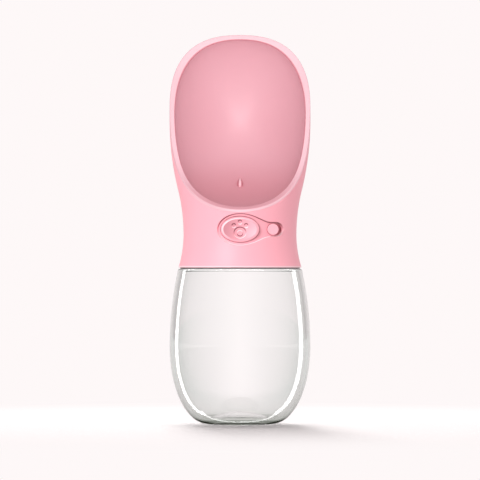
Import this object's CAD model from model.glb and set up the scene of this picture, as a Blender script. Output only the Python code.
from math import atan, atan2, cos, hypot, pi, radians, sin, sqrt, tan

import bmesh
import bpy
from mathutils import Matrix, Vector


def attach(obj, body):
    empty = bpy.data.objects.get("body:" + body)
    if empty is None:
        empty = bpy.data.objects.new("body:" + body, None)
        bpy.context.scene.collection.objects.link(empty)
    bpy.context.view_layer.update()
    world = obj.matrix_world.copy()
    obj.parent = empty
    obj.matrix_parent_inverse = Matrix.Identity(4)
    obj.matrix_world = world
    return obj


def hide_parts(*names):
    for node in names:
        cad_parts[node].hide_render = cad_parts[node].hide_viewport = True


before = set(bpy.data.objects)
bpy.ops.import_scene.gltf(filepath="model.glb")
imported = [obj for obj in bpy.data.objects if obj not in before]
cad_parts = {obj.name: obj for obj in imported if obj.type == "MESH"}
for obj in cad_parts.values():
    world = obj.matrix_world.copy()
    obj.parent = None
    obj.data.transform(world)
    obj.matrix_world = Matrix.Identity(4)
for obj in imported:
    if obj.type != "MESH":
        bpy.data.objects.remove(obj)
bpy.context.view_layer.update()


# ---- Clear bottle ----
# Stretch-blown from clear copolyester. It stands on a foot ring round a pushed-up base, and its
# flat shoulder carries the neck. Sizes here and below are in millimetres. The wall of the shoulder
# is thinner than the solid's, because a thick corner draws a dark band below the seam.
MM = 0.001
bottle_r, belly_z, bottle_wall = 36.8, 40, 2.4
shoulder_r, shoulder_z, shoulder_fillet, shoulder_wall = 32.6, 81, 1.2, 0.7
foot_r, foot_w, foot_round, foot_blend, push_up = 17, 2.5, 0.5, 0.7, 3.9
neck_r, neck_top, neck_fillet = 23.3, 90, 1
lip_round, inner_fillet, inner_corner = 0.5, 0.4, 0.25
glass_face, glass_edge, edge_blend = (1, 1, 1, 1), (0.30, 0.33, 0.30, 1), 0.08
thick_r, thick_z, shadow_share, shadow_fades_at = 15, 1.1, 0.36, 0.6


def arc(r, z, radius, start, end, steps=6):
    """Profile points along an arc round (r, z), with its angles in degrees from the outside up."""
    turns = [radians(start + (end - start) * i / steps) for i in range(steps + 1)]
    return [(r + radius * cos(t), z + radius * sin(t)) for t in turns]


def turned(profile, steps, closed=False):
    """A profile of (radius, height) spun round the Z axis."""
    bm = bmesh.new()
    verts = [bm.verts.new((r, 0, z)) for r, z in profile]
    pairs = list(zip(verts, verts[1:])) + ([(verts[-1], verts[0])] if closed else [])
    edges = [bm.edges.new(pair) for pair in pairs]
    bmesh.ops.spin(bm, geom=verts + edges, cent=(0, 0, 0), axis=(0, 0, 1), angle=2 * pi,
                   steps=steps, use_merge=True, use_duplicate=False)
    return bm


def finished(bm, name, finish, scale=MM, sharp=40):
    """A mesh in millimetres, cleaned and made an object in metres."""
    bmesh.ops.scale(bm, vec=(scale, scale, scale), verts=bm.verts)
    bmesh.ops.remove_doubles(bm, verts=bm.verts, dist=1e-7)
    bmesh.ops.recalc_face_normals(bm, faces=bm.faces)
    mesh = bpy.data.meshes.new(name)
    bm.to_mesh(mesh)
    bm.free()
    mesh.shade_smooth()
    mesh.set_sharp_from_angle(angle=radians(sharp))
    mesh.materials.append(finish)
    obj = bpy.data.objects.new(name, mesh)
    bpy.context.scene.collection.objects.link(obj)
    return obj


def new_finish(name, **values):
    """A Principled material with the values given, and its node tree."""
    finish = bpy.data.materials.new(name)
    finish.use_nodes = True
    tree = finish.node_tree
    shader = tree.nodes["Principled BSDF"]
    for socket, value in values.items():
        shader.inputs[socket.replace("_", " ")].default_value = value
    return finish, tree, shader


def bottle_outline():
    """The bottle's profile, from the middle of its base out, up and back down the inside."""
    side_rise = shoulder_z - shoulder_fillet - belly_z
    side_arc = (side_rise ** 2 + (bottle_r - shoulder_r) ** 2) / (2 * (bottle_r - shoulder_r))
    cap = ((foot_r - foot_w) ** 2 + push_up ** 2) / (2 * push_up)

    def base(wall, steps=40):
        turns = [pi / 2 * i / steps for i in range(steps)]
        return [(foot_r + (bottle_r - wall - foot_r) * sin(t),
                 belly_z - (belly_z - wall) * cos(t)) for t in turns]

    def side(wall, top, steps=30):
        heights = [belly_z + (top - belly_z) * i / steps for i in range(steps + 1)]
        return [(bottle_r - wall - side_arc + sqrt(side_arc ** 2 - (z - belly_z) ** 2), z)
                for z in heights]

    def hollow(wall, edge, steps=16):
        return [(edge * i / steps,
                 push_up - cap + sqrt((cap + wall) ** 2 - (edge * i / steps) ** 2))
                for i in range(steps + 1)]

    in_r = neck_r - bottle_wall
    in_top = shoulder_z - shoulder_wall
    in_side = side(bottle_wall, in_top - inner_corner)
    corner = in_side[-1]
    foot_in = foot_r - foot_w
    in_edge = sqrt((cap + bottle_wall) ** 2 - (cap - push_up + bottle_wall) ** 2)
    fillet, lip_z = shoulder_fillet, neck_top - lip_round
    return (hollow(0, foot_in - foot_blend) + arc(foot_in, foot_round, foot_round, 215, 270, 4)
            + [(foot_r - 1, 0)] + base(0) + side(0, shoulder_z - fillet)[:-1]
            + arc(shoulder_r - fillet, shoulder_z - fillet, fillet, 0, 90, 8)
            + arc(neck_r + neck_fillet, shoulder_z + neck_fillet, neck_fillet, 270, 180, 6)
            + arc(neck_r - lip_round, lip_z, lip_round, 0, 90, 4)
            + arc(in_r + lip_round, lip_z, lip_round, 90, 180, 4)
            + arc(in_r + inner_fillet, in_top + inner_fillet, inner_fillet, 180, 270, 6)
            + arc(corner[0] - inner_corner, corner[1], inner_corner, 90, 0, 6)
            + in_side[-2::-1] + base(bottle_wall)[::-1]
            + hollow(bottle_wall, in_edge)[::-1])


clear_plastic, tree, shader = new_finish(
    "clear_copolyester", Roughness=0.0, IOR=1.49, Transmission_Weight=1.0)
facing = tree.nodes.new("ShaderNodeLayerWeight")
facing.inputs["Blend"].default_value = edge_blend
tint = tree.nodes.new("ShaderNodeMix")
tint.data_type = "RGBA"
tint.inputs["A"].default_value = glass_face
tint.inputs["B"].default_value = glass_edge
thick = tree.nodes.new("ShaderNodeAttribute")
thick.attribute_name = "thick"
tinted = tree.nodes.new("ShaderNodeMath")
tinted.operation = "MAXIMUM"
tree.links.new(facing.outputs["Facing"], tinted.inputs[0])
tree.links.new(thick.outputs["Fac"], tinted.inputs[1])
tree.links.new(tinted.outputs[0], tint.inputs["Factor"])
tree.links.new(tint.outputs["Result"], shader.inputs["Base Color"])

# A lamp's light is held back in part where it meets the wall squarely, and passes at the edges.
lamp_rays = tree.nodes.new("ShaderNodeLightPath")
straight_on = tree.nodes.new("ShaderNodeLayerWeight")
straight_on.inputs["Blend"].default_value = 0.5
stopped = tree.nodes.new("ShaderNodeMapRange")
stopped.inputs["From Max"].default_value = shadow_fades_at
stopped.inputs["To Min"].default_value = shadow_share
stopped.inputs["To Max"].default_value = 0
let_through = tree.nodes.new("ShaderNodeMapRange")
let_through.inputs["To Min"].default_value = 1
tree.links.new(straight_on.outputs["Facing"], stopped.inputs["Value"])
tree.links.new(stopped.outputs["Result"], let_through.inputs["To Max"])
tree.links.new(lamp_rays.outputs["Is Shadow Ray"], let_through.inputs["Value"])
tree.links.new(let_through.outputs["Result"], shader.inputs["Alpha"])

bm = turned(bottle_outline(), 192)
thick = bm.verts.layers.float.new("thick")
for v in bm.verts:
    v[thick] = 1 if v.co.z < thick_z and hypot(v.co.x, v.co.y) > thick_r else 0
clear_bottle = finished(bm, "clear_bottle", clear_plastic)
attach(clear_bottle, "bottle")
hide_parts("bottle")


# ---- Neck thread ----
# Two ridges wind up the neck with a lead of 8 mm a turn, blown with the bottle in the same
# copolyester. Each fades into the neck at both its ends.
thread_h, thread_lead = 1.1, 8


def thread_ridge(bm, root_r, height, low, rise, start_deg):
    """One ridge of a screw thread: an outline of half a lead high, swept up the screw line."""
    half_foot, half_crest = 0.95, 0.35
    outline = [(root_r, -half_foot), (root_r + height, -half_crest),
               (root_r + height, half_crest), (root_r, half_foot)]
    steps = round(rise / thread_lead * 72)
    turn = radians(start_deg)
    verts = [bm.verts.new((r * cos(turn), r * sin(turn), z)) for r, z in outline]
    edges = [bm.edges.new((verts[i], verts[i - 1])) for i in range(4)]
    bm.faces.new(verts)
    swept = bmesh.ops.spin(bm, geom=verts + edges, cent=(0, 0, 0), axis=(0, 0, 1),
                           dvec=(0, 0, rise / steps), angle=2 * pi * rise / thread_lead,
                           steps=steps, use_merge=False, use_duplicate=False)
    last = [v for v in swept["geom_last"] if isinstance(v, bmesh.types.BMVert)]
    bmesh.ops.contextual_create(bm, geom=last)
    for v in bm.verts:
        if v.tag:
            continue
        v.tag = True
        around = (atan2(v.co.y, v.co.x) - turn) / (2 * pi)
        along = v.co.z / thread_lead
        climbed = around + round(along - around)
        share = climbed * thread_lead / rise
        fade = min(1, max(0, min(share, 1 - share)) * 6)
        r = hypot(v.co.x, v.co.y)
        r_new = root_r + (r - root_r) * fade
        v.co.x *= r_new / r
        v.co.y *= r_new / r
        v.co.z += low


bm = bmesh.new()
for start in (20, 200):
    thread_ridge(bm, neck_r - 0.1, thread_h + 0.1, shoulder_z + 1.9, 6, start)
neck_thread = finished(bm, "neck_thread", clear_plastic)
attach(neck_thread, "bottle")


# ---- Neck gasket ----
# A flat ring punched from soft white silicone, which lies on the mouth of the bottle and seals
# against the cap. The valve's seals and its riser tube are moulded in the same silicone. All
# moulded finishes share one node group, with a fine speckle.
def moulded_grain():
    """Node group: a fine speckle for bump, and a slow drift of a colour and of the gloss."""
    group = bpy.data.node_groups.new("moulded_grain", "ShaderNodeTree")
    face = group.interface
    face.new_socket("Grain Scale", in_out="INPUT", socket_type="NodeSocketFloat")
    face.new_socket("Drift Scale", in_out="INPUT", socket_type="NodeSocketFloat")
    face.new_socket("Color", in_out="INPUT", socket_type="NodeSocketColor")
    face.new_socket("Drift Color", in_out="INPUT", socket_type="NodeSocketColor")
    face.new_socket("Gloss Low", in_out="INPUT", socket_type="NodeSocketFloat")
    face.new_socket("Gloss High", in_out="INPUT", socket_type="NodeSocketFloat")
    face.new_socket("Height", in_out="OUTPUT", socket_type="NodeSocketFloat")
    face.new_socket("Color", in_out="OUTPUT", socket_type="NodeSocketColor")
    face.new_socket("Roughness", in_out="OUTPUT", socket_type="NodeSocketFloat")
    nodes, links = group.nodes, group.links
    given = nodes.new("NodeGroupInput")
    out = nodes.new("NodeGroupOutput")
    place = nodes.new("ShaderNodeTexCoord")
    grain = nodes.new("ShaderNodeTexNoise")
    grain.inputs["Detail"].default_value = 3
    drift = nodes.new("ShaderNodeTexNoise")
    drift.inputs["Detail"].default_value = 1
    colour = nodes.new("ShaderNodeMix")
    colour.data_type = "RGBA"
    gloss = nodes.new("ShaderNodeMapRange")
    links.new(place.outputs["Object"], grain.inputs["Vector"])
    links.new(place.outputs["Object"], drift.inputs["Vector"])
    links.new(given.outputs["Grain Scale"], grain.inputs["Scale"])
    links.new(given.outputs["Drift Scale"], drift.inputs["Scale"])
    links.new(drift.outputs["Fac"], colour.inputs["Factor"])
    links.new(given.outputs["Color"], colour.inputs["A"])
    links.new(given.outputs["Drift Color"], colour.inputs["B"])
    links.new(grain.outputs["Fac"], gloss.inputs["Value"])
    links.new(given.outputs["Gloss Low"], gloss.inputs["To Min"])
    links.new(given.outputs["Gloss High"], gloss.inputs["To Max"])
    links.new(grain.outputs["Fac"], out.inputs["Height"])
    links.new(colour.outputs["Result"], out.inputs["Color"])
    links.new(gloss.outputs["Result"], out.inputs["Roughness"])
    return group


grain_group = moulded_grain()


def moulded_finish(name, color, drift_color, gloss, grain_scale, grain_height, **values):
    """A moulded plastic or rubber: its colour drifts slightly and its face has a fine speckle."""
    finish, tree, shader = new_finish(name, **values)
    grain = tree.nodes.new("ShaderNodeGroup")
    grain.node_tree = grain_group
    grain.inputs["Grain Scale"].default_value = grain_scale
    grain.inputs["Drift Scale"].default_value = 25
    grain.inputs["Color"].default_value = (*color, 1)
    grain.inputs["Drift Color"].default_value = (*drift_color, 1)
    grain.inputs["Gloss Low"].default_value = gloss[0]
    grain.inputs["Gloss High"].default_value = gloss[1]
    bump = tree.nodes.new("ShaderNodeBump")
    bump.inputs["Distance"].default_value = grain_height * MM
    bump.inputs["Strength"].default_value = 1
    tree.links.new(grain.outputs["Color"], shader.inputs["Base Color"])
    tree.links.new(grain.outputs["Roughness"], shader.inputs["Roughness"])
    tree.links.new(grain.outputs["Height"], bump.inputs["Height"])
    tree.links.new(bump.outputs["Normal"], shader.inputs["Normal"])
    return finish


def repaint(finish, *nodes):
    """Gives kept CAD nodes their finish."""
    for node in nodes:
        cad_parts[node].material_slots[0].material = finish


silicone = moulded_finish("soft_silicone", (0.83, 0.81, 0.76), (0.78, 0.76, 0.71), (0.5, 0.65),
                          900, 0.02, Specular_IOR_Level=0.35)
repaint(silicone, "neck_gasket", "inlet_seal", "plug_seal", "stem_front_seal", "valve_seat_seal",
        "riser_tube")


# ---- Head cover ----
# Injection-moulded from pink ABS: a waisted skirt that widens into a domed back round the bowl.
# The button and the lock lie in one shallow recess, whose edges are softened as moulded.
hem_z, hem_h = 81.6, 0.9
waist_r, waist_z, full_up, head_r = 29.5, 99, 59.45, 36.8
skirt_arc, blend_arc = 58, 95
straight_h, dome_h, dome_n = 4, 41.3, 2.6
cover_wall, waist_wall = 1.6, 2.3
rim_lean, rim_arc, rim_bend_up, rim_bend_front = radians(14), 56.7, 44.9, 8.2
lip_t = 1.2
button_z, recess_depth, recess_slope = 101.3, 1.2, 0.4
recess_a, recess_b, bar_b = 11.8, 8.3, 3.8
window_a, window_b = 10.25, 6.95
knob_x, slot_r, lock_travel = 17, 3.075, radians(3.2)

full_z = waist_z + full_up
flare = 2 * atan((head_r - waist_r) / full_up)
full_arc = full_up / sin(flare) - blend_arc
flare_z = waist_z + blend_arc * sin(flare)
dome_z = full_z + straight_h
dome_span = 52
rim_y0 = -rim_bend_front - rim_arc * cos(rim_lean)
rim_z0 = waist_z + rim_bend_up + rim_arc * sin(rim_lean)
floor_r = waist_r - recess_depth
waist_in_r = waist_r - waist_wall


def head_radius(z, inside=0):
    """Radius of the head's outside at the height z, or of a surface inside it."""
    if z < waist_z:
        return waist_r + skirt_arc - sqrt(skirt_arc ** 2 - (waist_z - z) ** 2) - inside
    if z < flare_z:
        return waist_r + blend_arc - sqrt(blend_arc ** 2 - (z - waist_z) ** 2) - inside
    if z < full_z:
        return head_r - full_arc + sqrt(full_arc ** 2 - (full_z - z) ** 2) - inside
    up = (z - dome_z) / (dome_h - inside)
    return (head_r - inside) * max(0, 1 - max(0, up) ** dome_n) ** (1 / dome_n)


def head_outline(m, inside=0):
    """Radius and height of the head's outline, m mm up it."""
    if m < dome_z:
        return head_radius(m, inside), m
    t = min(pi / 2, (m - dome_z) / dome_span * pi / 2)
    return ((head_r - inside) * cos(t) ** (2 / dome_n),
            dome_z + (dome_h - inside) * sin(t) ** (2 / dome_n))


def rim_y(z, back=0):
    """Where the rim's surface lies at the height z, or a surface set back from it."""
    if z > rim_z0 - (rim_arc + back) * sin(rim_lean):
        return (-rim_bend_front + back / cos(rim_lean)
                + (z - waist_z - rim_bend_up) * tan(rim_lean))
    return rim_y0 + sqrt(max(0, (rim_arc + back) ** 2 - (rim_z0 - z) ** 2))


def halved(low, high, past):
    """The value between low and high at which past turns true."""
    for _ in range(34):
        middle = (low + high) / 2
        low, high = (low, middle) if past(middle) else (middle, high)
    return (low + high) / 2


def rim_height(around, inside, back):
    """How far up the outline a meridian of the head meets the rim's surface."""
    def past(m):
        r, z = head_outline(m, inside)
        return r * sin(around) < rim_y(z, back)
    return halved(100, dome_z + dome_span, past)


def ease(t):
    t = min(1, max(0, t))
    return t * t * (3 - 2 * t)


def oval_gap(x, z, a, b):
    """Distance from an oval's edge, below zero inside it."""
    k = hypot(x / a, z / b)
    return k * (k - 1) / max(1e-9, hypot(x / a ** 2, z / b ** 2)) if k > 1e-6 else -b


recess_end = knob_x + floor_r * sin(lock_travel) + 0.2


def recess_gap(x, z):
    """Distance from the edge of the recess: an oval and a round-ended bar, joined by fillets."""
    fillet = 5
    oval = oval_gap(x, z, recess_a, recess_b)
    bar = hypot(x - min(max(x, 0), recess_end), z) - bar_b
    return max(fillet, min(oval, bar)) - hypot(max(fillet - oval, 0), max(fillet - bar, 0))


def recess_sink(x, z):
    """How deep the recess is at a place."""
    return recess_depth * ease(-recess_gap(x, z) / recess_slope)


def slant(sink, x, z, steepest):
    """How a sunk face slants at a place: 1 where it looks up steeply, -1 where it looks down."""
    return max(-1, min(1, (sink(x, z + 0.05) - sink(x, z - 0.05)) / 0.1 / steepest))


slot_half = floor_r * tan(lock_travel / 2)
outer_rows, inner_rows = 60, 26
hem_r = head_radius(hem_z + hem_h) + 0.15
edge_back = lip_t + 0.1
hem_tone = 0.5
hem_rows = [(hem_r - 0.15, hem_z), (hem_r, hem_z + 0.15), (hem_r, hem_z + hem_h - 0.12),
            (hem_r - 0.12, hem_z + hem_h)]
first_outer = len(hem_rows)
last_outer = first_outer + outer_rows
first_inner = last_outer + 2
last_row = first_inner + inner_rows


def cover_inside(z):
    """Radius of the cover's inside: plain round the waist, elsewhere parallel to the outside."""
    thin_z, bore_top, bore_low, skirt_top = 109.44, 106.94, 90.4, 88.9
    if z >= thin_z:
        return head_radius(z, cover_wall)
    if z >= bore_top:
        share = (z - bore_top) / (thin_z - bore_top)
        return waist_in_r + share * (head_radius(thin_z, cover_wall) - waist_in_r)
    if z >= bore_low:
        return waist_in_r
    if z >= skirt_top:
        low = head_radius(skirt_top, waist_wall)
        return low + (z - skirt_top) / (bore_low - skirt_top) * (waist_in_r - low)
    return head_radius(z, waist_wall)


def cover_point(row, around):
    """Point of the cover for a row of its outline and a direction round the axis."""
    if row < first_outer:
        r, z = hem_rows[int(row)]
    elif row <= last_outer:
        top = rim_height(around, 0, edge_back + 0.15)
        low = hem_z + hem_h
        r, z = head_outline(low + (top - low) * (row - first_outer) / outer_rows)
    elif row < first_inner:
        r, z = head_outline(rim_height(around, 0.15, edge_back), 0.15)
    else:
        top = rim_height(around, cover_wall, edge_back)
        m = top + (hem_z - top) * (row - first_inner) / inner_rows
        r, z = head_outline(m, cover_wall)
        r = min(r, cover_inside(z))
    return Vector((r * cos(around), r * sin(around), z))


bm = turned([(1, row) for row in range(last_row + 1)], 120, closed=True)
patch_from, patch_to, patch_low = radians(-121), radians(-33), 91.5


def near_recess(face):
    """Whether a face of the plain cylinder ends up round the button and the lock."""
    middle = face.calc_center_median()
    if not first_outer < middle.z < last_outer:
        return False
    around = atan2(middle.y, middle.x)
    return patch_from < around < patch_to and cover_point(middle.z, around).z > patch_low


patch = [f for f in bm.faces if near_recess(f)]
level = [e for e in {e for f in patch for e in f.edges}
         if abs(e.verts[0].co.z - e.verts[1].co.z) < 1e-4]
bmesh.ops.subdivide_edges(bm, edges=level, cuts=9, use_grid_fill=True)
patch = [f for f in bm.faces if len(f.verts) == 4 and near_recess(f) and f.calc_area() < 0.02]
upright = [e for e in {e for f in patch for e in f.edges}
           if abs(e.verts[0].co.z - e.verts[1].co.z) > 0.5]
bmesh.ops.subdivide_edges(bm, edges=upright, cuts=2, use_grid_fill=True)

tone = bm.verts.layers.float.new("tone")
for v in bm.verts:
    row, around = v.co.z, atan2(v.co.y, v.co.x)
    p = cover_point(row, around)
    if row < 2.5:
        v[tone] = hem_tone
    if first_outer - 0.5 < row < last_outer + 0.5 and p.y < 0:
        sunk = recess_sink(p.x, p.z - button_z)
        v[tone] = slant(recess_sink, p.x, p.z - button_z, recess_depth / recess_slope)
        r = hypot(p.x, p.y)
        p.x *= (r - sunk) / r
        p.y *= (r - sunk) / r
    v.co = p


def pierce(middle, straight, a, b, turn):
    """Opens the front of the cover by an oval drawn out sideways, seen from the direction turn."""
    turned_back = Matrix.Rotation(-turn, 3, "Z")
    chosen = set()
    for v in bm.verts:
        p = turned_back @ v.co
        past = max(0, abs(p.x - middle) - straight)
        if p.y < -5 and 85 < p.z < 112 and hypot(past / a, (p.z - button_z) / b) < 1:
            chosen.add(v)
    gone = [f for f in bm.faces if all(v in chosen for v in f.verts)]
    bmesh.ops.delete(bm, geom=gone, context="FACES")
    chosen = {v for v in chosen if v.is_valid and v.is_boundary}
    for v in chosen:
        p = turned_back @ v.co
        side = p.x - middle
        past = max(0, abs(side) - straight)
        k = hypot(past / a, (p.z - button_z) / b)
        p.x = middle + (min(abs(side), straight) + past / k) * (1 if side > 0 else -1)
        p.y = -sqrt(v.co.x ** 2 + v.co.y ** 2 - p.x ** 2)
        p.z = button_z + (p.z - button_z) / k
        v.co = Matrix.Rotation(turn, 3, "Z") @ p
    edge = [e for e in bm.edges if e.is_boundary and all(v in chosen for v in e.verts)]
    bmesh.ops.bridge_loops(bm, edges=edge)


pierce(0, 0, window_a, window_b, 0)
pierce(knob_x, slot_half, slot_r, slot_r, lock_travel / 2)


def pink_finish(name, color, drift_color, dark, pale):
    """Satin pink plastic with a tone of its own for each vertex: -1 is dark and 1 is pale."""
    finish = moulded_finish(name, color, drift_color, (0.44, 0.50), 700, 0.004,
                            Specular_IOR_Level=0.5)
    tree = finish.node_tree
    shader = tree.nodes["Principled BSDF"]
    slope = tree.nodes.new("ShaderNodeAttribute")
    slope.attribute_name = "tone"
    drifted = shader.inputs["Base Color"].links[0].from_socket
    for shade, far in ((dark, -1), (pale, 1)):
        share = tree.nodes.new("ShaderNodeMapRange")
        share.inputs["From Min"].default_value = 0
        share.inputs["From Max"].default_value = far
        toned = tree.nodes.new("ShaderNodeMix")
        toned.data_type = "RGBA"
        toned.inputs["B"].default_value = (*shade, 1)
        tree.links.new(slope.outputs["Fac"], share.inputs["Value"])
        tree.links.new(share.outputs["Result"], toned.inputs["Factor"])
        tree.links.new(drifted, toned.inputs["A"])
        drifted = toned.outputs["Result"]
    tree.links.new(drifted, shader.inputs["Base Color"])
    return finish


pink_plastic = pink_finish("pink_abs", (0.95, 0.415, 0.485), (0.94, 0.405, 0.475),
                           (0.25, 0.07, 0.09), (1.0, 0.82, 0.85))
head_cover = finished(bm, "head_cover", pink_plastic)
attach(head_cover, "head")
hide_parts("head_shell")


# ---- Drinking bowl ----
# One deep shell of the same pink ABS. Its lip lies on the edge of the cover and is glued there,
# and from the lip the sides run straight back before they close round the middle.
rim_w, rim_wider, liner_in, bowl_t, back_gap = 2.6, 0.6, 1.75, 1.5, 1.7
bowl_back = head_r - cover_wall - back_gap - bowl_t
bowl_segments = 192
outside_tone, rim_tone, turn_tone, floor_tone = 0.22, -0.3, -0.5, -0.3


def rim_point(a, inside, back):
    """Point of the rim in the direction a of the front view, from the middle of the bowl."""
    if inside > 0.5 and a > 0 and (inside, back) != (liner_in, lip_t):
        inside += (inside - 0.5) * rim_wider * sin(2 * a) ** 2

    def past(s):
        x, z = s * cos(a), full_z + s * sin(a)
        return x * x + rim_y(z, back) ** 2 > head_radius(z, inside) ** 2
    s = halved(10, 60, past)
    z = full_z + s * sin(a)
    return Vector((s * cos(a), rim_y(z, back), z))


lip_edge = 0.45
lip_arc = [(lip_edge * (1 - cos(t)), lip_edge * (1 - sin(t)))
           for t in map(radians, (0, 22, 45, 68, 90))]
lip = ([(0, lip_t), (0, lip_edge)] + lip_arc[1:] + [(0.9, 0), (1.3, 0), (1.7, 0)]
       + [(rim_w - down, along) for along, down in lip_arc[:-1]])
outer_turns = [90, 82, 74, 66, 58, 50, 42, 34, 26, 18, 12, 7, 3, 0]
inner_turns = [90 * (i / 44) ** 1.15 for i in range(45)]
bowl_rows = ([("outer", t) for t in outer_turns] + [("lip", p) for p in lip]
             + [("inner", t) for t in inner_turns])
first_lip = len(outer_turns)
starts = {}


def bowl_point(row, a):
    """Point of the bowl for one of its rows and a direction in the front view."""
    kind, value = bowl_rows[row]
    if kind == "lip":
        return rim_point(a, *value)
    key = kind, round(a, 5)
    if key not in starts:
        starts[key] = rim_point(a, *((liner_in, lip_t) if kind == "outer" else (rim_w, lip_edge)))
    start = starts[key]
    back = bowl_back + (bowl_t if kind == "outer" else 0)
    t = radians(value)
    close = cos(t) * (1 - 0.1 * sin(t))
    return Vector((start.x * close, start.y + (back - start.y) * sin(t),
                   full_z + (start.z - full_z) * close))


def bowl_tone(row, z):
    """The rim is pale outside, darker where it turns in, and paler from its foot to its top."""
    if row < first_lip + 4:
        return outside_tone
    if row < first_lip + len(lip) - 3:
        return 0.64 * ease((z - 114) / 26) + 0.2 * ease((z - 178) / 18) + rim_tone
    if row < first_lip + len(lip) + 2:
        return turn_tone
    return floor_tone * ease((142 - z) / 25)


bm = turned([(1, row) for row in range(len(bowl_rows))], bowl_segments)
tone = bm.verts.layers.float.new("tone")
for v in bm.verts:
    row = round(v.co.z)
    v.co = bowl_point(row, atan2(v.co.y, v.co.x))
    v[tone] = bowl_tone(row, v.co.z)
bowl_plastic = pink_finish("bowl_abs", (0.74, 0.42, 0.475), (0.73, 0.41, 0.465),
                           (0.60, 0.11, 0.15), (0.98, 0.66, 0.71))
drinking_bowl = finished(bm, "drinking_bowl", bowl_plastic)
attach(drinking_bowl, "head")
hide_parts("bowl_liner")


# ---- Water nozzle ----
# A small upright drop of the same ABS on the floor of the bowl, with the water hole in its top.
# Its spigot goes down into the riser tube.
outlet_y, outlet_z = 10.82, 125.75
nozzle_half_w, nozzle_half_h, nozzle_front, nozzle_back = 1.5, 2.7, 3.6, 1.9
nozzle_taper, nozzle_lean, nozzle_ahead, nozzle_up, hole_step = 0.28, 0.2, 0.6, 0.1, 0.6

bm = bmesh.new()
bmesh.ops.create_uvsphere(bm, u_segments=40, v_segments=24, radius=1)
tone = bm.verts.layers.float.new("tone")
for v in bm.verts:
    x, y, z = v.co
    v[tone] = max(-0.5, 1 - 2.5 * abs(x))
    depth = nozzle_front if y < 0 else nozzle_back
    v.co = (x * nozzle_half_w * (1 - nozzle_taper * z),
            outlet_y - nozzle_ahead + y * depth * (1 - nozzle_lean * z),
            outlet_z + nozzle_up + z * nozzle_half_h)
top = max(bm.verts, key=lambda v: v.co.z)
ring = {e for f in top.link_faces for e in f.edges if top not in e.verts}
bmesh.ops.delete(bm, geom=[top], context="VERTS")
for _ in range(2):
    sunk = bmesh.ops.extrude_edge_only(bm, edges=list(ring))["geom"]
    ring = {e for e in sunk if isinstance(e, bmesh.types.BMEdge) and e.is_boundary}
    bmesh.ops.translate(bm, vec=(0, 0, -hole_step), verts=list({v for e in ring for v in e.verts}))
bmesh.ops.contextual_create(bm, geom=list(ring))
water_nozzle = finished(bm, "water_nozzle", bowl_plastic)
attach(water_nozzle, "head")
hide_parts("outlet_spout")


# ---- Push button ----
# An oval button moulded in pink ABS. Its face is dished for the thumb and has a sunk paw, and a
# flange behind the window holds it in against the spring.
button_a, button_b, face_y = 10, 6.7, -29.2
flange_w, flange_t, flange_y = 1.2, 1.5, -24.437
button_round, crest_w = 0.75, 1.15
dish_depth, paw_depth = 1.1, 0.55
pad_z, pad_a, pad_b, pad_edge = -1.7, 3.3, 3, 0.5
toes, toe_a, toe_b, toe_edge = [(-3.2, 1.9), (0, 3.7), (3.2, 1.9)], 1.15, 1.25, 0.55
boss_z, boss_r, boss_h = -2, 1.6, 0.9
hub_r, hub_draft, hub_end_r, hub_h = 2.99, 0.05, 2.7, 2.3


def paw_sink(x, z):
    """How deep the paw is sunk at a place of the button's face."""
    pad = oval_gap(x, z - pad_z, pad_a, pad_b)
    boss = hypot(x, z - boss_z) - boss_r
    paw = ease((0.1 - pad) / pad_edge) * (1 - boss_h * ease((0.1 - boss) / pad_edge))
    for toe_x, toe_z in toes:
        paw = max(paw, ease((0.1 - oval_gap(x - toe_x, z - toe_z, toe_a, toe_b)) / toe_edge))
    return paw_depth * paw


def face_sink(x, z):
    """How deep the button's face lies at a place: the dish, and the paw sunk into it."""
    k = hypot(x / (button_a - crest_w), z / (button_b - crest_w))
    return dish_depth * max(0, 1 - k * k) + paw_sink(x, z)


face_rings = 64
button_rows = [("face", i / face_rings) for i in range(face_rings + 1)]
button_rows += [("round", t) for t in (75, 60, 45, 30, 15, 0)]
flange_back = flange_y + flange_t
hub_back = flange_back + hub_h
button_rows += [("flange", 0, flange_y), ("flange", flange_w, flange_y),
                ("flange", flange_w, flange_back), ("hub", hub_r, flange_back),
                ("hub", hub_r - hub_draft, hub_back), ("hub", hub_end_r, hub_back),
                ("hub", 0, hub_back)]


def button_point(row, a):
    kind, *value = button_rows[row]
    if kind == "face":
        share = value[0]
        x = (button_a - button_round) * share * cos(a)
        z = (button_b - button_round) * share * sin(a)
        return Vector((x, face_y + face_sink(x, z), button_z + z))
    if kind == "hub":
        r, y = value
        return Vector((r * cos(a), y, button_z + r * sin(a)))
    if kind == "round":
        t = radians(value[0])
        grow, y = -button_round * (1 - cos(t)), face_y + button_round * (1 - sin(t))
    else:
        grow, y = value
    return Vector(((button_a + grow) * cos(a), y, button_z + (button_b + grow) * sin(a)))


def button_tone(x, z):
    """The face is darker to the left, its crest pale at the upper left, and the paw shaded."""
    k = hypot(x / (button_a - crest_w), z / (button_b - crest_w))
    crest = max(-0.2, 0.6 * (z / button_b - x / button_a)) if k < 1.06 else 0
    return (0.035 * x - 0.19 if k < 0.97 else crest) + slant(paw_sink, x, z, paw_depth / 0.6)


bm = turned([(1, row) for row in range(len(button_rows))], 160)
tone = bm.verts.layers.float.new("tone")
for v in bm.verts:
    v.co = button_point(round(v.co.z), atan2(v.co.y, v.co.x))
    if v.co.y < face_y + 2:
        v[tone] = button_tone(v.co.x, v.co.z - button_z)
push_button = finished(bm, "push_button", pink_plastic)
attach(push_button, "button")
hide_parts("button")


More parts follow.
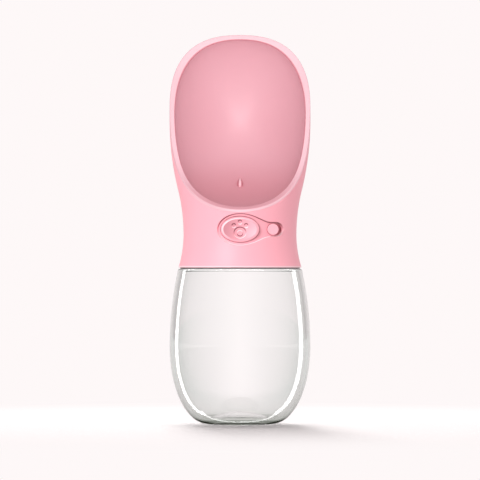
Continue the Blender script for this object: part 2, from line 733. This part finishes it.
# ---- Lock knob ----
# A round knob of pink ABS that points to the front, as the button does. It slides sideways in its
# slot, its flat face turns a little to the side, and a thin flange behind the wall covers the slot.
knob_r, knob_proud, knob_round, knob_turn = 2.95, 1.0, 0.4, radians(12)
knob_in_r, knob_len, cover_r, cover_h = 27, 9, 4.9, 0.12
knob_face_y = -sqrt(floor_r ** 2 - (knob_x - knob_r) ** 2) - knob_proud + knob_r * tan(knob_turn)

outline = ([(0, 0.1), (1.5, 0.08), (2.1, 0.02)]
           + [(r, -z) for r, z in arc(knob_r - knob_round, -knob_round, knob_round, 90, 0, 6)]
           + [(knob_r, knob_len - cover_h), (cover_r, knob_len - cover_h), (cover_r, knob_len),
              (0, knob_len)])
bm = turned(outline, 64)
tone = bm.verts.layers.float.new("tone")
for v in bm.verts:
    v[tone] = 0.06 if v.co.z < 0.5 else -0.3
    x = knob_x + v.co.x
    y = knob_face_y + v.co.z + v.co.x * tan(knob_turn)
    if v.co.z > knob_len - 1:
        y = -sqrt((knob_in_r + knob_len - v.co.z) ** 2 - x * x)
    v.co = (x, y, button_z + v.co.y)
lock_knob = finished(bm, "lock_slider", pink_plastic)
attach(lock_knob, "lock")
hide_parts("lock_knob")


# ---- Threaded core ----
# A white ABS core is welded into the head. Two ridges inside its skirt run between those of the
# neck, and its plate carries the valve. The valve, its plug and stem, and the lock's slide and its
# keeper are moulded in the same white.
white_plastic = moulded_finish("white_abs", (0.82, 0.81, 0.77), (0.79, 0.78, 0.74), (0.42, 0.52),
                               600, 0.01, Specular_IOR_Level=0.45)
repaint(white_plastic, "threaded_collar", "valve_body", "valve_rear_plug", "lock_keeper",
        "valve_stem", "lock_tongue")
core_in_r = neck_r + thread_h + 0.3
bm = bmesh.new()
for start in (20, 200):
    thread_ridge(bm, core_in_r + 0.1, -thread_h - 0.05, shoulder_z + 3.9, 4.8, start)
core_thread = finished(bm, "core_thread", white_plastic)
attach(core_thread, "head")


# ---- Seam seal ----
# A thin ring of grey silicone under the head's hem, which wipes the shoulder of the bottle and
# shows as the dark line between the two.
seal_in_r, seal_out_r, seal_low, seal_high = 25.4, 31.2, shoulder_z + 0.06, shoulder_z + 1.1
seal_bevel = 0.2
grey_silicone = moulded_finish("grey_silicone", (0.15, 0.11, 0.115), (0.13, 0.10, 0.10), (0.5, 0.6),
                               900, 0.02, Specular_IOR_Level=0.3)
outline = [(seal_in_r, seal_low), (seal_out_r - seal_bevel, seal_low),
           (seal_out_r, seal_low + seal_bevel), (seal_out_r, seal_high), (seal_in_r, seal_high)]
seam_seal = finished(turned(outline, 128, closed=True), "seam_seal", grey_silicone)
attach(seam_seal, "head")


# ---- Screws, clip and spring ----
# Bright stainless steel, drawn or turned, with fine lines from the tool along each piece. The
# screws hold the valve and the knob, the clip the seat's washer, and the spring pushes the button.
steel, tree, shader = new_finish("stainless_steel", Metallic=1.0, Base_Color=(0.62, 0.62, 0.63, 1))
place = tree.nodes.new("ShaderNodeTexCoord")
lines = tree.nodes.new("ShaderNodeTexNoise")
lines.inputs["Scale"].default_value = 1500
stretch = tree.nodes.new("ShaderNodeMapping")
stretch.inputs["Scale"].default_value = (1, 1, 0.1)
gloss = tree.nodes.new("ShaderNodeMapRange")
gloss.inputs["To Min"].default_value = 0.22
gloss.inputs["To Max"].default_value = 0.38
tree.links.new(place.outputs["Object"], stretch.inputs["Vector"])
tree.links.new(stretch.outputs["Vector"], lines.inputs["Vector"])
tree.links.new(lines.outputs["Fac"], gloss.inputs["Value"])
tree.links.new(gloss.outputs["Result"], shader.inputs["Roughness"])
repaint(steel, "valve_screws", "stem_clip", "return_spring", "lock_screw")


# ---- Floor and background ----
# A plain pale sweep. The camera, gloss and glass see its own colour. Round the bottle its matt part
# takes over, which keeps the shadow, and both are set to the same brightness.
paper = (0.99, 0.939, 0.939)
floor_color, matt_share = (0.395, 0.374, 0.374), 0.95
matt_near, matt_far = 0.12, 0.32
side_color, wall_color = (0.82, 0.82, 0.805), (0.12, 0.125, 0.115)
foot_color = (0.06, 0.065, 0.045)
band_full, band_fades, band_end, band_rest = 0.22, 0.6, 0.85, 0.45
below = [(0, (0.42, 0.425, 0.39)), (0.02, (0.60, 0.60, 0.57)), (0.035, (0.78, 0.76, 0.745)),
         (0.08, (0.85, 0.82, 0.81)), (0.30, (0.93, 0.885, 0.88)), (0.45, paper)]


def worked(tree, operation, a, b):
    """Output of a Math node of two values, each a socket or a number."""
    node = tree.nodes.new("ShaderNodeMath")
    node.operation = operation
    for socket, value in zip(node.inputs, (a, b)):
        if isinstance(value, bpy.types.NodeSocket):
            tree.links.new(value, socket)
        else:
            socket.default_value = value
    return node.outputs[0]


def mixed(tree, factor, a, b):
    """Output of a colour mix of a and b, each a socket or a colour."""
    node = tree.nodes.new("ShaderNodeMix")
    node.data_type = "RGBA"
    tree.links.new(factor, node.inputs["Factor"])
    for socket, value in ((node.inputs["A"], a), (node.inputs["B"], b)):
        if isinstance(value, bpy.types.NodeSocket):
            tree.links.new(value, socket)
        else:
            socket.default_value = (*value, 1)
    return node.outputs["Result"]


def ramp(tree, value, low, high, to_low=0, to_high=1):
    """Output of a smooth step from low to high."""
    node = tree.nodes.new("ShaderNodeMapRange")
    node.interpolation_type = "SMOOTHSTEP"
    tree.links.new(value, node.inputs["Value"])
    node.inputs["From Min"].default_value = low
    node.inputs["From Max"].default_value = high
    node.inputs["To Min"].default_value = to_low
    node.inputs["To Max"].default_value = to_high
    return node.outputs["Result"]


def beside(tree, sideways):
    """How far a direction lies in the two grey bands left and right behind the bottle."""
    return worked(tree, "MULTIPLY", ramp(tree, sideways, 0, band_full),
                  ramp(tree, sideways, band_fades, band_end, 1, band_rest))


bm = bmesh.new()
bmesh.ops.create_grid(bm, x_segments=8, y_segments=8, size=6)
floor_finish = bpy.data.materials.new("pale_floor")
floor_finish.use_nodes = True
tree = floor_finish.node_tree
tree.nodes.clear()
place = tree.nodes.new("ShaderNodeTexCoord")
distance = tree.nodes.new("ShaderNodeVectorMath")
distance.operation = "LENGTH"
tree.links.new(place.outputs["Object"], distance.inputs[0])
away = distance.outputs["Value"]
path = tree.nodes.new("ShaderNodeLightPath")
by_camera, by_glass = path.outputs["Is Camera Ray"], path.outputs["Is Transmission Ray"]
seen = worked(tree, "MAXIMUM", by_camera, by_glass)
matt_part = worked(tree, "MULTIPLY", ramp(tree, away, matt_near, matt_far, 1, 0), by_camera)
matt = tree.nodes.new("ShaderNodeBsdfDiffuse")
lit_part = worked(tree, "MAXIMUM", matt_part, worked(tree, "SUBTRACT", 1, seen))
tree.links.new(mixed(tree, lit_part, (0, 0, 0), floor_color), matt.inputs["Color"])

shades = tree.nodes.new("ShaderNodeValToRGB")
stops = shades.color_ramp.elements
while len(stops) < len(below):
    stops.new(0.5)
for stop, (reach, shade) in zip(stops, below):
    stop.position, stop.color = reach / below[-1][0], (*shade, 1)
tree.links.new(worked(tree, "DIVIDE", away, below[-1][0]), shades.inputs["Fac"])
parts = tree.nodes.new("ShaderNodeSeparateXYZ")
tree.links.new(place.outputs["Object"], parts.inputs[0])
sideways = worked(tree, "DIVIDE", worked(tree, "ABSOLUTE", parts.outputs["X"], 0), away)
side = worked(tree, "MULTIPLY", beside(tree, sideways), ramp(tree, away, 0.05, 0.3))
through_glass = mixed(tree, side, shades.outputs["Color"], side_color)
glow = tree.nodes.new("ShaderNodeEmission")
tree.links.new(mixed(tree, by_glass, paper, through_glass), glow.inputs["Color"])
tree.links.new(worked(tree, "SUBTRACT", seen, worked(tree, "MULTIPLY", matt_part, matt_share)),
               glow.inputs["Strength"])
both = tree.nodes.new("ShaderNodeAddShader")
out = tree.nodes.new("ShaderNodeOutputMaterial")
tree.links.new(matt.outputs[0], both.inputs[0])
tree.links.new(glow.outputs[0], both.inputs[1])
tree.links.new(both.outputs[0], out.inputs["Surface"])
floor = finished(bm, "floor", floor_finish, scale=1)
floor.visible_glossy = False

# The gloss sees the room darker to both sides, and darkest under the foot and behind it.
room_color = (0.73, 0.71, 0.71)
world = bpy.data.worlds.new("studio")
bpy.context.scene.world = world
world.use_nodes = True
tree = world.node_tree
place = tree.nodes.new("ShaderNodeTexCoord")
parts = tree.nodes.new("ShaderNodeSeparateXYZ")
tree.links.new(place.outputs["Generated"], parts.inputs[0])
sideways = worked(tree, "ABSOLUTE", parts.outputs["X"], 0)
path = tree.nodes.new("ShaderNodeLightPath")
through_glass = mixed(tree, beside(tree, sideways), paper, side_color)
in_gloss = mixed(tree, ramp(tree, sideways, 0, 1.2), paper, wall_color)
under = worked(tree, "MULTIPLY", ramp(tree, parts.outputs["Z"], -0.3, -0.04, 1, 0),
               ramp(tree, parts.outputs["Y"], 0.2, 0.5))
in_gloss = mixed(tree, under, in_gloss, foot_color)
seen = mixed(tree, path.outputs["Is Camera Ray"], room_color, paper)
seen = mixed(tree, path.outputs["Is Transmission Ray"], seen, through_glass)
seen = mixed(tree, path.outputs["Is Glossy Ray"], seen, in_gloss)
tree.links.new(seen, tree.nodes["Background"].inputs["Color"])


# ---- Lamps ----
# A large soft box from the front left with a weak one from the right for the outside, one level
# with the bowl, and one above and behind that lights the floor alone and gives the shadow. Four
# strips draw the bright lines in the clear bottle.
def soft_box(name, place, aim, size, power, lights, glossy=False):
    """A rectangular lamp for some of the pieces, seen in their gloss or not."""
    lamp = bpy.data.lights.new(name, "AREA")
    lamp.shape = "RECTANGLE"
    lamp.size, lamp.size_y = size
    lamp.energy = power
    obj = bpy.data.objects.new(name, lamp)
    obj.location = place
    obj.rotation_euler = (Vector(aim) - Vector(place)).to_track_quat("-Z", "Y").to_euler()
    obj.visible_camera = obj.visible_transmission = False
    obj.visible_glossy = glossy
    obj.light_linking.receiver_collection = lights
    bpy.context.scene.collection.objects.link(obj)


def group_of(name, *pieces):
    group = bpy.data.collections.new(name)
    for piece in pieces:
        group.objects.link(piece)
    return group


bowl_pieces, glass_pieces = (drinking_bowl, water_nozzle), (clear_bottle, neck_thread)
bowl_group = group_of("bowl_group", *bowl_pieces)
glass_group = group_of("glass_group", *glass_pieces)
floor_group = group_of("floor_group", floor)
others = [obj for obj in bpy.context.scene.objects
          if obj.type == "MESH" and obj not in (floor, *bowl_pieces, *glass_pieces)]
outer_group = group_of("outer_group", *others)
soft_box("key", (-1.11, -2.17, 1.0), (0, 0, 0.12), (1.0, 1.0), 43, outer_group, True)
soft_box("fill", (1.65, 0.1, 0.4), (0, 0, 0.12), (0.8, 0.8), 2.4, outer_group)
soft_box("bowl_key", (0, -2.5, 0.06), (0, 0, 0.15), (1.2, 0.12), 36, bowl_group, True)
soft_box("over_floor", (-0.16, 1.3, 2.3), (0, 0, 0), (0.45, 2.6), 172, floor_group)
soft_box("strip_left", (-0.62, 0.43, 0), (0, 0, 0), (0.12, 1.6), 5.2, glass_group, True)
soft_box("strip_right", (0.665, 0.34, 0), (0, 0, 0), (0.17, 1.6), 5.6, glass_group, True)
soft_box("strip_low", (0, 0.33, -0.68), (0, 0, 0), (1.4, 0.10), 2.2, glass_group, True)
soft_box("strip_top", (0, -0.5, 1.15), (0, 0, 0.08), (1.6, 0.30), 28, glass_group, True)


# ---- Camera ----
# Level with the seam between head and bottle, 2 m in front of the axis. The frame is 250.8 mm
# wide at the axis, and its middle is 96 mm up.
view_wide, view_middle, eye_z, eye_away = 250.8, 96.0, 81.5, 2000
lens = bpy.data.cameras.new("camera")
lens.sensor_width = 36
lens.lens = lens.sensor_width * eye_away / view_wide
lens.shift_y = (view_middle - eye_z) / view_wide
lens.clip_end = 50
camera = bpy.data.objects.new("camera", lens)
camera.location = (0, -eye_away * MM, eye_z * MM)
camera.rotation_euler = (pi / 2, 0, 0)
bpy.context.scene.collection.objects.link(camera)
bpy.context.scene.camera = camera
bpy.context.scene.view_settings.view_transform = "Standard"
